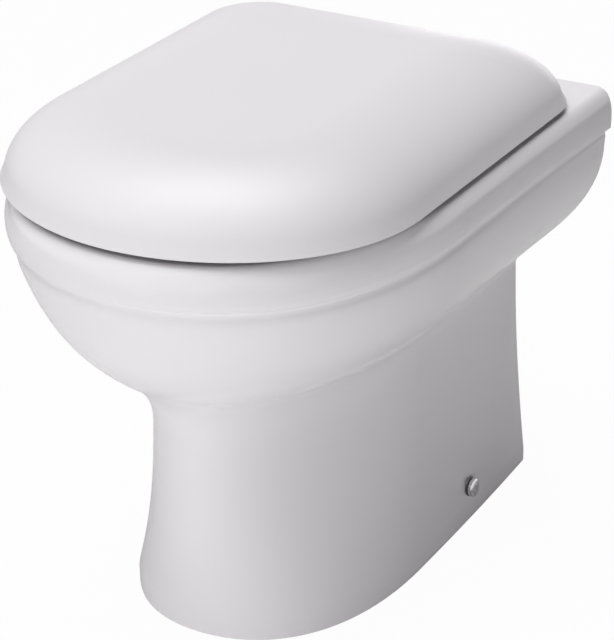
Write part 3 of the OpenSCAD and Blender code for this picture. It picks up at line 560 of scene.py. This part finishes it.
CHINA, DECK_UNDER, RECESS_R = 12.0, 379.0, 8.0
behind = {"yb": WALL + 1, "corner": 0.5}
recess = raw(skin("recess", [flat(inset(foot_s, CHINA), -2, **behind)]
                  + [stem_ring(k, CHINA, **behind)
                     for k in (0.1, 0.2, 0.35, 0.48, 0.6, 0.7, 0.8)]))
hip, top = back_level(waist_s, CHINA), back_level(ledge_s, CHINA)
upper = [flat(hip, 160, **behind)] + [bowl_ring(t, hip, top, **behind)
                                      for t in np.linspace(0, 1, 14)]
upper += [flat(inset(top, RECESS_R * (1 - math.cos(a))),
               DECK_UNDER - RECESS_R + RECESS_R * math.sin(a), **behind)
          for a in np.radians([0, 20, 40, 60, 78])]
upper += [flat(inset(top, RECESS_R), DECK_UNDER, **behind)]
recess_top = raw(skin("recess_top", upper))

turn = 2 * math.pi * np.arange(144) / 144
# How much further back the body reaches at some rows of the bowl, which
# makes the tongue of the trap.
TONGUE = {4: 16, 5: 16, 6: 8}
body_rows = [[10, 20, -12, 22, 1]]
body_rows += [[r[0] - (6 if i < 3 else 3), r[1] + CHINA, r[2] - CHINA,
               r[3] + CHINA + TONGUE.get(i, 0), r[4]]
              for i, r in enumerate(well) if i not in (0, 3)]
body_rows += [[386, *body_rows[-1][1:]]]
bowl_body = raw(skin("bowl_body", [oval(*r, around=turn) for r in smooth_rows(body_rows, 4)]))

SPIGOT_Y, OUTLET_H, INLET_H = 244.0, 180.0, 328.0
BEND_A, BEND_B, RISE, FALL = 60.0, 58.0, math.radians(72), math.radians(18)
TRAP_LOW, TRAP_R, TRAP_WALL, SPIGOT_L = 60.0, 38.0, 9.0, 44.0
trap_top = OUTLET_H + 2 * BEND_B * (1 - math.cos(FALL))
leg = (trap_top - TRAP_LOW - (BEND_A + BEND_B) * (1 - math.cos(RISE))) / math.sin(RISE)
leg_y = leg * math.cos(RISE) + (BEND_A + BEND_B) * math.sin(RISE)
fall_y = 2 * BEND_B * math.sin(FALL)
trap_y = SPIGOT_Y - SPIGOT_L - leg_y - fall_y


def trap_line():
    """Middle line of the trap as y, z and heading: level out of the sump, an
    arc up to 72 degrees, an arc over the weir and down, and level again."""
    a = np.radians(np.linspace(0, 72, 19))
    b, c, d = a[::-1], np.radians(np.linspace(3, 18, 6)), np.radians(np.linspace(15, 0, 6))
    rise = [trap_y + BEND_A * np.sin(a), TRAP_LOW + BEND_A * (1 - np.cos(a)), a]
    over = [trap_y + leg_y - BEND_B * np.sin(b), trap_top - BEND_B * (1 - np.cos(b)), b]
    fall = [trap_y + leg_y + BEND_B * np.sin(c), trap_top - BEND_B * (1 - np.cos(c)), -c]
    out = [trap_y + leg_y + fall_y - BEND_B * np.sin(d), OUTLET_H + BEND_B * (1 - np.cos(d)), -d]
    start = np.array([[trap_y - 30], [TRAP_LOW], [0]])
    return np.concatenate([start, rise, over, fall, out], 1).T


def trap_tube(name, r, line):
    """A round tube of radius r along the middle line, upright to it."""
    a = 2 * math.pi * np.arange(56) / 56
    y, z, h = line.T[:, :, None]
    u = r * np.sin(a)[None]
    x = np.broadcast_to(r * np.cos(a)[None], (len(line), 56))
    rings = np.stack([x, y - u * np.sin(h), z + u * np.cos(h)], -1)
    return skin(name, list(rings))


line = trap_line()
past = np.concatenate([line, [[WALL, OUTLET_H, 0]]])
BACKWARD = (0, 1, 0)
carve(recess, ("UNION", recess_top), ("DIFFERENCE", bowl_body),
      ("DIFFERENCE", raw(trap_tube("trap_wall", TRAP_R + TRAP_WALL, line))),
      ("DIFFERENCE", raw(rod("collar", 30.5, 28, (0, 108, INLET_H), BACKWARD))))
spigot = lathe("spigot", [(43.5, 196), (47, 196), (51, 200.5), (51, 241.5), (50.3, 243.3),
                          (48.5, 244), (45.4, 244), (43.6, 243.3), (43, 241.6), (43, 200)],
               (0, 0, OUTLET_H), BACKWARD, 96)
horn = lathe("horn", [(21, 134), (29.5, 134), (29.5, 241.8), (28.8, 243.4), (27.2, 244),
                      (23, 244), (21.6, 243.4), (21, 242)], (0, 0, INLET_H), BACKWARD, 72)
HINGE_X, HINGE_Y, HINGE_Z = 77.5, 196.0, 426.5
FIX_X, FIX_Y, FIX_Z, CAP_X = 117.023, 131.0, 33.0, 118.557
holes = [("DIFFERENCE", rod("bolt_hole", 7, 26, (s * HINGE_X, HINGE_Y, 373), (0, 0, 1), 48))
         for s in (-1, 1)]
holes += [("DIFFERENCE", rod("side_hole", 6, 28, (s * (FIX_X + 8), FIX_Y, FIX_Z), (-s, 0, 0), 48))
          for s in (-1, 1)]
for m in (glazed_china, bare_china):
    pan.data.materials.append(m)
carve(pan, ("DIFFERENCE", recess), ("UNION", spigot), ("UNION", horn),
      ("DIFFERENCE", trap_tube("trap_bore", TRAP_R, past)),
      ("DIFFERENCE", rod("flush_bore", 21, 200, (0, 70, INLET_H), BACKWARD, 72)), *holes)
centre = np.empty(len(pan.data.polygons) * 3)
pan.data.polygons.foreach_get("center", centre)
kind = np.empty(len(pan.data.polygons), np.int32)
pan.data.polygons.foreach_get("material_index", kind)
kind[centre[2::3] < 0.2 * MM] = INSIDE
pan.data.polygons.foreach_set("material_index", kind)
finish_edges(pan, 55)
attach(pan, "pan")
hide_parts("rim_left", "rim_right", "deck", "bowl_front_left", "bowl_front_right",
            "bowl_rear_left", "bowl_rear_right", "cheek_left", "cheek_right", "pedestal",
            "sump_left", "sump_right", "trap_left", "trap_right", "outlet_spigot", "flush_inlet")

# ---- Floor fixings ----------------------------------------------------------
# Two zinc-plated angle brackets on the floor hold the pan by a screw through
# each side of the pedestal, in a nylon bush and under a bright snap-on cap.
zinc = finish("zinc_plate", ((0.62, 0.62, 0.61), (0.52, 0.53, 0.54)), (0.28, 0.42),
              90.0, 400.0, 0.00002, 0.4, Metallic=1.0)
chrome = finish("chrome_plate", ((0.74, 0.74, 0.76), (0.68, 0.69, 0.71)), (0.06, 0.12),
                40.0, 120.0, 0.00001, 0.3, Metallic=1.0)
nylon = finish("white_nylon", ((0.80, 0.80, 0.77), (0.72, 0.72, 0.69)), (0.35, 0.5),
               60.0, 500.0, 0.00003, 0.4, Subsurface_Weight=0.1, Subsurface_Scale=0.002)


def dress(material, *names):
    """Gives the CAD nodes whose names start so the material."""
    for name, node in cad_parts.items():
        if name.startswith(names):
            node.data.materials.clear()
            node.data.materials.append(material)


dress(zinc, "floor_bracket", "side_screw")
dress(nylon, "side_bush")
cap_plate = finish("cap_plate", ((0.72, 0.71, 0.73), (0.62, 0.62, 0.64)), (0.20, 0.32),
                   120.0, 260.0, 0.00003, 0.4, Metallic=1.0)
# Painted shade: a near-black ring under each cap's flange stands for the shadow in the gap round
# it. It is not a real seal.
painted_shade_black = finish("painted_shade_black", ((0.03, 0.03, 0.03), (0.05, 0.05, 0.05)), (0.5, 0.7),
                     80.0, 400.0, 0.00003, 0.4)
CAP = [(0, 4.2), (5.4, 4.2), (5.8, 3.8), (5.8, 0.4), (6.1, 0), (6.6, 0), (6.6, 1.8), (8.2, 1.8),
       (8.5, 2.1), (8.5, 4.3), (8.41, 4.9), (8.15, 5.5), (7.7, 6.0), (7.0, 6.4), (5.9, 6.7),
       (4.4, 6.88), (2.4, 6.97), (0, 7)]
PAINTED_RING_PROFILE = [(6.7, 0.05), (8.5, 0.05), (8.7, 0.3), (8.7, 1.5), (8.5, 1.75), (6.7, 1.75)]
for s, side in ((-1, "left"), (1, "right")):
    cap = lathe("cap_" + side, CAP, (s * CAP_X, FIX_Y, FIX_Z), (s, 0, 0))
    cap.data.materials.append(cap_plate)
    finish_edges(cap, 50)
    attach(cap, "pan")
    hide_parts("side_cap_" + side)
    # The black ring of painted shade, in the undercut under the cap's flange.
    painted_ring = lathe("cap_painted_shade_" + side, PAINTED_RING_PROFILE, (s * CAP_X, FIX_Y, FIX_Z), (s, 0, 0))
    painted_ring.data.materials.append(painted_shade_black)
    finish_edges(painted_ring, 50)
    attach(painted_ring, "pan")

# ---- Seat hinge -------------------------------------------------------------
# Two chromed posts stand on round base plates over rubber gaskets, each bolted
# through the deck. A steel pin through the barrel of each post carries the
# knuckles of the seat ring and of the lid.
soft_rubber = finish("clear_rubber", ((0.80, 0.80, 0.78), (0.72, 0.72, 0.70)), (0.4, 0.55),
                     50.0, 300.0, 0.00004, 0.4, Subsurface_Weight=0.25, Subsurface_Scale=0.003)
black_rubber = finish("black_rubber", ((0.035, 0.035, 0.035), (0.055, 0.055, 0.055)),
                      (0.55, 0.7), 60.0, 400.0, 0.00005, 0.5)
dress(zinc, "hinge_stud", "hinge_washer", "hinge_pin")
dress(nylon, "hinge_nut")
dress(black_rubber, "hinge_cone")
dress(soft_rubber, "hinge_gasket")
BASE_Z, BASE_R, BASE_T, BARREL_L, BARREL_R, POST_R, PIN_R = 394.5, 21.0, 3.0, 22.0, 8.5, 6.0, 4.0
SIDEWAYS, UPRIGHT = (1, 0, 0), (0, 0, 1)


def rounded_bar(name, r, length, centre, axis, edge, n=72):
    """A round bar whose two end edges are rounded by a quarter circle."""
    a = np.radians(np.linspace(0, 90, 6))
    start = np.column_stack([r - edge + edge * np.sin(a), edge - edge * np.cos(a)])
    end = np.column_stack([r - edge + edge * np.cos(a), length - edge + edge * np.sin(a)])
    return lathe(name, np.concatenate([[[0, 0]], start, end, [[0, length]]]), centre, axis, n)


for s, side in ((-1, "left"), (1, "right")):
    x = s * HINGE_X
    a = np.radians(np.linspace(0, 90, 6))
    rim = np.column_stack([BASE_R - 1 + np.cos(a), BASE_T - 1 + np.sin(a)])
    plate = lathe("base_" + side, [(4.25, 0), (BASE_R - 0.3, 0), (BASE_R, 0.3), *rim,
                                   (POST_R + 0.3, BASE_T), (POST_R + 0.3, BASE_T - 0.3),
                                   (4.25, BASE_T - 0.3)],
                  (x, HINGE_Y, BASE_Z), UPRIGHT, 96)
    plate.data.materials.append(chrome)
    finish_edges(plate, 50)
    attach(plate, "pan")
    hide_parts("hinge_base_" + side)
    post = lathe("post_" + side, [(0, 0), (POST_R + 1.4, 0), (POST_R + 1.1, 0.5),
                                  (POST_R + 0.4, 1.3), (POST_R, 2.6), (POST_R, 29), (0, 29)],
                 (x, HINGE_Y, BASE_Z + BASE_T), UPRIGHT, 72)
    barrel = rounded_bar("barrel", BARREL_R, BARREL_L, (x - BARREL_L / 2, HINGE_Y, HINGE_Z),
                         SIDEWAYS, 1.0)
    carve(post, ("UNION", barrel),
          ("DIFFERENCE", rod("bore", PIN_R, 40, (x - 20, HINGE_Y, HINGE_Z), SIDEWAYS)),
          ("DIFFERENCE", rod("bolt_way", 4, 13, (x, HINGE_Y, BASE_Z), UPRIGHT)))
    post.data.materials.append(chrome)
    finish_edges(post, 35)
    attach(post, "pan")
    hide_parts("hinge_post_" + side)

# ---- Seat ring --------------------------------------------------------------
# The ring is moulded in satin white plastic, crowned on top and open below. Two
# arms at its back end in knuckles on the hinge pins.
seat_plastic = finish("seat_plastic", ((0.835, 0.808, 0.835), (0.815, 0.788, 0.815)),
                      (0.40, 0.48), 4.0, 22.0, 0.00010, 0.04, IOR=1.5)
LID_W, LID_YF, LID_YB, LID_YS, LID_CORNER = 182.5, -247.5, 222.0, -84.0, 54.0
LID_Z, LID_T, LID_WALL, DRAFT, ROUND = 398.0, 59.5, 4.5, 2.6, 94.0


def lid_level(d, corner=None, n1=14, n2=14, n3=46, n4=30):
    """Closed outline of the lid drawn in by d: round rear corners, straight
    sides and a cubic turn to the front, mirrored and closed along the back."""
    w, yf, yb = LID_W - d, LID_YF + d, LID_YB - d
    rc = max(8.0, LID_CORNER - 0.3 * d) if corner is None else corner
    a = np.radians(np.linspace(90, 0, n1))
    t = np.linspace(0, 1, n3)[1:]
    sx = np.full(n2 - 1, w)
    sy = np.linspace(yb - rc, LID_YS, n2)[1:]
    bx = bez(w, w, 0.49 * w, 0.0, t)
    by = bez(LID_YS, LID_YS - 0.62 * (LID_YS - yf), yf, yf, t)
    run = mirrored(np.stack([np.concatenate([w - rc + rc * np.cos(a), sx, bx]),
                             np.concatenate([yb - rc + rc * np.sin(a), sy, by])], 1))
    x = run[-1, 0] + (run[0, 0] - run[-1, 0]) * np.linspace(0, 1, n4)[1:-1]
    return np.concatenate([run, np.stack([x, np.full(len(x), yb)], 1)])


def lid_in(z):
    """How far the lid's inner face lies inside its outline at the height z."""
    up_share = np.clip((z - LID_Z - 1 + LID_WALL) / (LID_T - 1), 0, 1)
    return LID_WALL + DRAFT + ROUND * (1 - np.cos(np.arcsin(up_share)))


RING_Z, RING_T, RING_BACK, SEAT_W = 399.0, 32.0, 162.0, 108.0
SEAT_FRONT, SEAT_L, SEAT_WIDE, SEAT_OVAL = 64.0, 268.0, 0.55, 0.94
RING_GAP, REST_GAP = 2.5, 0.3
ring_in = lid_in(RING_Z) + RING_GAP
ring_w, ring_yf = LID_W - ring_in, LID_YF + ring_in
seat_yc = ring_yf + SEAT_FRONT + SEAT_L * SEAT_WIDE
ring_out = lid_level(ring_in, LID_CORNER - ring_in)
late = ring_out[:, 1] > RING_BACK - 40
k = (ring_out[:, 1] - RING_BACK + 40) / (LID_YB - ring_in - RING_BACK + 40)
pulled = ring_out[:, 1] + (RING_BACK - ring_out[:, 1]) * k
ring_out[:, 1] = np.where(late, np.minimum(ring_out[:, 1], pulled), ring_out[:, 1])
reach = np.where(ring_out[:, 1] > seat_yc, RING_BACK - seat_yc, seat_yc - ring_yf)
a = np.arctan2((ring_out[:, 1] - seat_yc) / reach, ring_out[:, 0] / ring_w)
c, s = np.cos(a), np.sin(a)
ring_hole = np.stack([SEAT_W * np.sign(c) * np.abs(c) ** SEAT_OVAL,
                      seat_yc + SEAT_L * np.where(s > 0, 1 - SEAT_WIDE, SEAT_WIDE)
                      * np.sign(s) * np.abs(s) ** SEAT_OVAL], 1)


def lean(h):
    """Share of the ring's width by which its side leans in at the height h."""
    return (lid_in(RING_Z + h) + RING_GAP - ring_in) / (ring_w - SEAT_W)


def chaikin(points, times):
    """A closed run of points with its corners cut at the quarters, again and
    again, which tends to a smooth curve."""
    q = np.asarray(points, float)
    for _ in range(times):
        n = np.roll(q, -1, 0)
        q = np.stack([0.75 * q + 0.25 * n, 0.25 * q + 0.75 * n], 1).reshape(-1, 2)
    return q


section = [(0.14, 17.5), (0.07, 0), (0.012, 0), (0, 2)]
section += [(lean(h) + 0.009, h) for h in (7, 16, 21, 25, 28)]
section += [(lean(30) + 0.012, 30.4), (0.36, 31.8), (0.52, 32), (0.66, 31.6), (0.8, 29.4),
            (0.92, 23.6), (0.985, 16), (1, 9), (1, 2), (0.975, 0), (0.92, 0), (0.88, 17.5),
            (0.7, 24.5), (0.5, 26.7), (0.34, 24.5)]
section = chaikin(section, 2)
rows = [np.column_stack([mix(ring_out, ring_hole, q), np.full(len(ring_out), RING_Z + h)])
        for q, h in section]
ring = put("ring_shell", np.concatenate(rows), grid_faces(len(rows), len(ring_out), True))

KNUCKLE_L, RUN_GAP, KNUCKLE_BORE = 20.0, 0.8, 4.06
KNUCKLE_IN = HINGE_X - BARREL_L / 2 - RUN_GAP - KNUCKLE_L
KNUCKLE_OUT = HINGE_X + BARREL_L / 2 + RUN_GAP
BUF_X, BUF_FRONT, BUF_REAR = (ring_w + SEAT_W) / 2, -63.0, 106.0


def block(name, lo, hi, edge=0.0):
    """A box between two corners, its four edges along y rounded by edge."""
    (x0, y0, z0), (x1, y1, z1) = lo, hi
    if edge == 0:
        outline = np.array([(x0, z0), (x1, z0), (x1, z1), (x0, z1)], float)
    else:
        a = np.radians(np.linspace(0, 90, 5))
        q = edge * np.stack([np.cos(a), np.sin(a)], 1)
        outline = np.concatenate([q + (x1 - edge, z1 - edge),
                                  q[::-1] * (-1, 1) + (x0 + edge, z1 - edge),
                                  q * (-1, -1) + (x0 + edge, z0 + edge),
                                  q[::-1] * (1, -1) + (x1 - edge, z0 + edge)])
    n = len(outline)
    rings = [np.column_stack([outline[:, 0], np.full(n, y), outline[:, 1]]) for y in (y0, y1)]
    return skin(name, rings)


parts = []
for s in (-1, 1):
    x = KNUCKLE_IN if s > 0 else -KNUCKLE_IN - KNUCKLE_L
    parts += [("UNION", block("arm", (x, RING_BACK - 32, HINGE_Z - 7.5),
                              (x + KNUCKLE_L, HINGE_Y, HINGE_Z + 3), 2.5)),
              ("UNION", rounded_bar("knuckle", BARREL_R, KNUCKLE_L, (x, HINGE_Y, HINGE_Z),
                                    SIDEWAYS, 1.0))]
    parts += [("UNION", rod("boss", 9, 28, (s * BUF_X, y, RING_Z + 2), UPRIGHT))
              for y in (BUF_FRONT, BUF_REAR)]
    parts += [("DIFFERENCE", rod("stem_hole", 2.5, 5, (s * BUF_X, y, RING_Z), UPRIGHT, 24))
              for y in (BUF_FRONT, BUF_REAR)]
    parts += [("DIFFERENCE", rod("bore", KNUCKLE_BORE, 30, (x - 5, HINGE_Y, HINGE_Z), SIDEWAYS))]
carve(ring, *parts)
ring.data.materials.append(seat_plastic)
finish_edges(ring, 38)
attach(ring, "seat")
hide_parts("seat_ring")

# ---- Lid --------------------------------------------------------------------
# The lid is a thin moulded shell that wraps down over the ring. Inside it has a
# web at each side down to a knuckle, and slots at its back let the posts pass.
angles = np.radians([0, 4, 8, 12, 16, 20, 24, 28, 32, 36, 40, 44, 48, 52, 56, 60, 64, 68, 72, 76,
                     80, 84, 87, 90])
shell = [np.column_stack([lid_level(d), np.full(len(lid_level(d)), z)])
         for d, z in ((1.0, LID_Z), (0.6, LID_Z + 0.1), (0.28, LID_Z + 0.45), (0.1, LID_Z + 1.0))]


def dome(a, t):
    """Ring of the crown at the angle a of its rounding, t below the surface."""
    p = lid_level(t + DRAFT + ROUND * (1 - math.cos(a)))
    return np.column_stack([p, np.full(len(p), LID_Z + 1 + (LID_T - 1) * math.sin(a) - t)])


def plateau(t):
    """Rings of the nearly flat middle of the crown, t below the surface."""
    return [np.column_stack([lid_level(t + d), np.full(len(ring_out), LID_Z + LID_T - t)])
            for d in (104.0, 112.0, 122.0, 134.0, 146.0)]


lid = skin("lid_shell", shell + [dome(a, 0) for a in angles[2:]] + plateau(0))
inner = [np.column_stack([lid_level(LID_WALL), np.full(len(ring_out), LID_Z - 1)])]
hollow = skin("hollow", inner + [dome(a, LID_WALL) for a in angles[3:]] + plateau(LID_WALL))
web_stock = skin("web_stock", shell + [dome(a, 0.5) for a in angles[2::2]] + plateau(0.5))


def tail_profile(r):
    """Side view of what is cut from the tail of the lid: all that lies behind
    and below the hinge pins and outside the radius r."""
    a = np.radians(np.linspace(-90, 0, 25))
    arc = np.stack([HINGE_Y + r * np.cos(a), HINGE_Z + r * np.sin(a)], 1)
    return np.concatenate([arc, [(HINGE_Y + 60, HINGE_Z), (HINGE_Y + 60, HINGE_Z - 80),
                                 (HINGE_Y, HINGE_Z - 80)]])


def prism(name, profile, x0, x1):
    """A closed profile in y and z carried straight from x0 to x1."""
    n = len(profile)
    return skin(name, [np.column_stack([np.full(n, x), profile]) for x in (x0, x1)])


def lid_boss(name, s, y):
    """The round boss that takes the stem of one lid buffer."""
    return rod(name, 7.5, 20, (s * BUF_X, y, RING_Z + RING_T + REST_GAP + 3), UPRIGHT, 48)


def side_box(s, lo, hi):
    """x range of a piece at the right (s = 1) or mirrored to the left."""
    return (lo, hi) if s > 0 else (-hi, -lo)


TAIL_R, TAIL_R_POST, POST_HALF, NOTCH_Y = 32.3, 28.2, 22.5, 188.4
webs = []
for s in (-1, 1):
    x0, x1 = side_box(s, KNUCKLE_OUT, KNUCKLE_OUT + KNUCKLE_L)
    webs += [("UNION", block("web", (x0, HINGE_Y - BARREL_R, HINGE_Z),
                             (x1, HINGE_Y + BARREL_R, HINGE_Z + 40)))]
    webs += [("UNION", lid_boss("lid_boss", s, y)) for y in (BUF_FRONT, BUF_REAR)]
stock = webs[0][1]
carve(stock, *webs[1:])
carve(stock, ("INTERSECT", web_stock))
steps = [("DIFFERENCE", hollow), ("UNION", stock),
         ("DIFFERENCE", prism("tail", tail_profile(TAIL_R), -LID_W - 2, LID_W + 2))]
for s in (-1, 1):
    steps.append(("DIFFERENCE", prism("tail", tail_profile(TAIL_R_POST),
                                      s * HINGE_X - POST_HALF, s * HINGE_X + POST_HALF)))
    x0, x1 = side_box(s, KNUCKLE_IN - 2, KNUCKLE_OUT)
    steps.append(("DIFFERENCE", block("slot", (x0, NOTCH_Y, LID_Z - 5), (x1, 270, LID_Z + 80))))
    x0, x1 = side_box(s, KNUCKLE_OUT, KNUCKLE_OUT + KNUCKLE_L)
    steps.append(("UNION", rounded_bar("knuckle", BARREL_R, KNUCKLE_L, (x0, HINGE_Y, HINGE_Z),
                                       SIDEWAYS, 1.0)))
    steps.append(("DIFFERENCE", rod("bore", KNUCKLE_BORE, 30, (x0 - 5, HINGE_Y, HINGE_Z),
                                    SIDEWAYS)))
    steps += [("DIFFERENCE", rod("stem_hole", 2.5, 6, (s * BUF_X, y, RING_Z + RING_T + REST_GAP),
                                 UPRIGHT, 24)) for y in (BUF_FRONT, BUF_REAR)]
carve(lid, *steps)
lid.data.materials.append(seat_plastic)
finish_edges(lid, 38)
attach(lid, "lid")
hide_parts("lid")

# ---- Buffers ----------------------------------------------------------------
# Four soft buffers under the ring carry it on the rim, and four small ones in
# the lid rest on the ring. Each is pushed into a boss by a short stem.
for place, y in (("front", BUF_FRONT), ("rear", BUF_REAR)):
    for s, side in ((-1, "left"), (1, "right")):
        foot = lathe(f"ring_foot_{place}_{side}",
                     [(0, 0), (7.4, 0), (8.3, 0.35), (8.85, 1.1), (9, 2), (9, 7.7), (2.5, 7.7),
                      (2.5, 10.7), (0, 10.7)], (s * BUF_X, y, RIM_H + REST_GAP), UPRIGHT)
        foot.data.materials.append(soft_rubber)
        finish_edges(foot, 50)
        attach(foot, "seat")
        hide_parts(f"ring_buffer_{place}_{side}")
        stop = lathe(f"lid_stop_{place}_{side}",
                     [(0, 0), (4.9, 0), (5.6, 0.25), (5.9, 0.8), (6, 1.5), (6, 3), (2.5, 3),
                      (2.5, 6), (0, 6)], (s * BUF_X, y, RING_Z + RING_T + REST_GAP), UPRIGHT)
        stop.data.materials.append(soft_rubber)
        finish_edges(stop, 50)
        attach(stop, "lid")
        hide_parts(f"lid_buffer_{place}_{side}")
